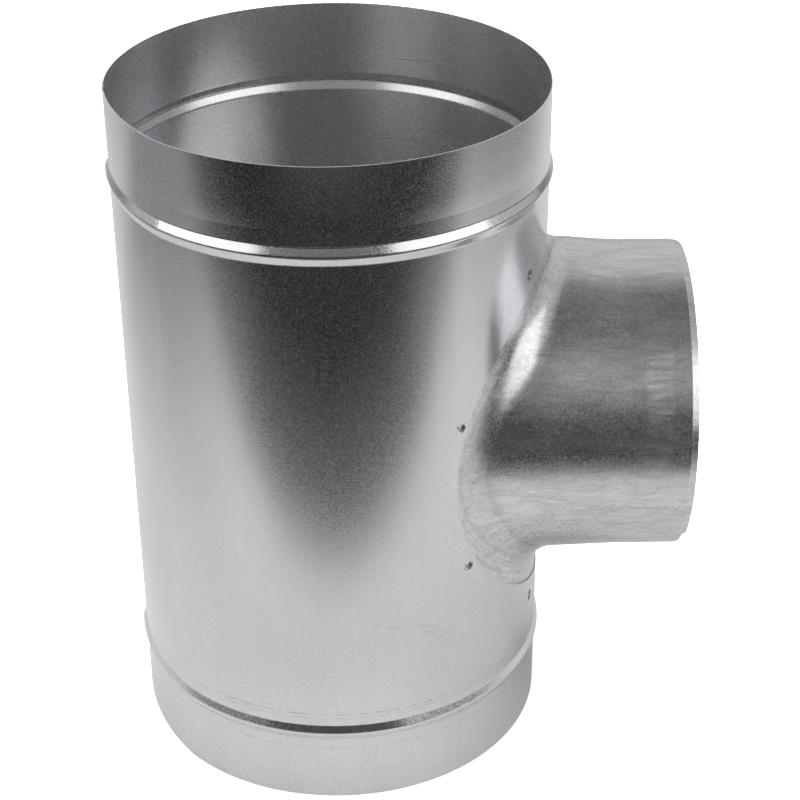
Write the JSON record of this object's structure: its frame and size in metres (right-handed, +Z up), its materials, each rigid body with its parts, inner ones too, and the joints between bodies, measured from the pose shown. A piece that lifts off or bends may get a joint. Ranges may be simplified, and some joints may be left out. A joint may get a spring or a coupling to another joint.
{
  "type": "reducing duct tee",
  "caption": "Pressed sheet-steel tee that joins a smaller round branch duct square to a straight round duct, with a beaded spigot at each end of the run",
  "frame": {"origin": "centre of the main tube's bottom rim, on the plane the tee stands on", "axes": "+Z up the main tube's axis; +X along the branch's axis, out of its mouth; +Y away from the side the picture was taken from"},
  "size_m": [0.2666, 0.2024, 0.33],
  "materials": {
    "tube_sheet": "galvanised sheet with a fine sandy grain and faint streaks along the tube",
    "saddle_sheet": "galvanised sheet dulled by deep drawing, with soft streaks across the neck"
  },
  "bodies": {
    "root": {"main_tube": "tube_sheet", "branch_saddle": "saddle_sheet"}
  },
  "joints": []
}
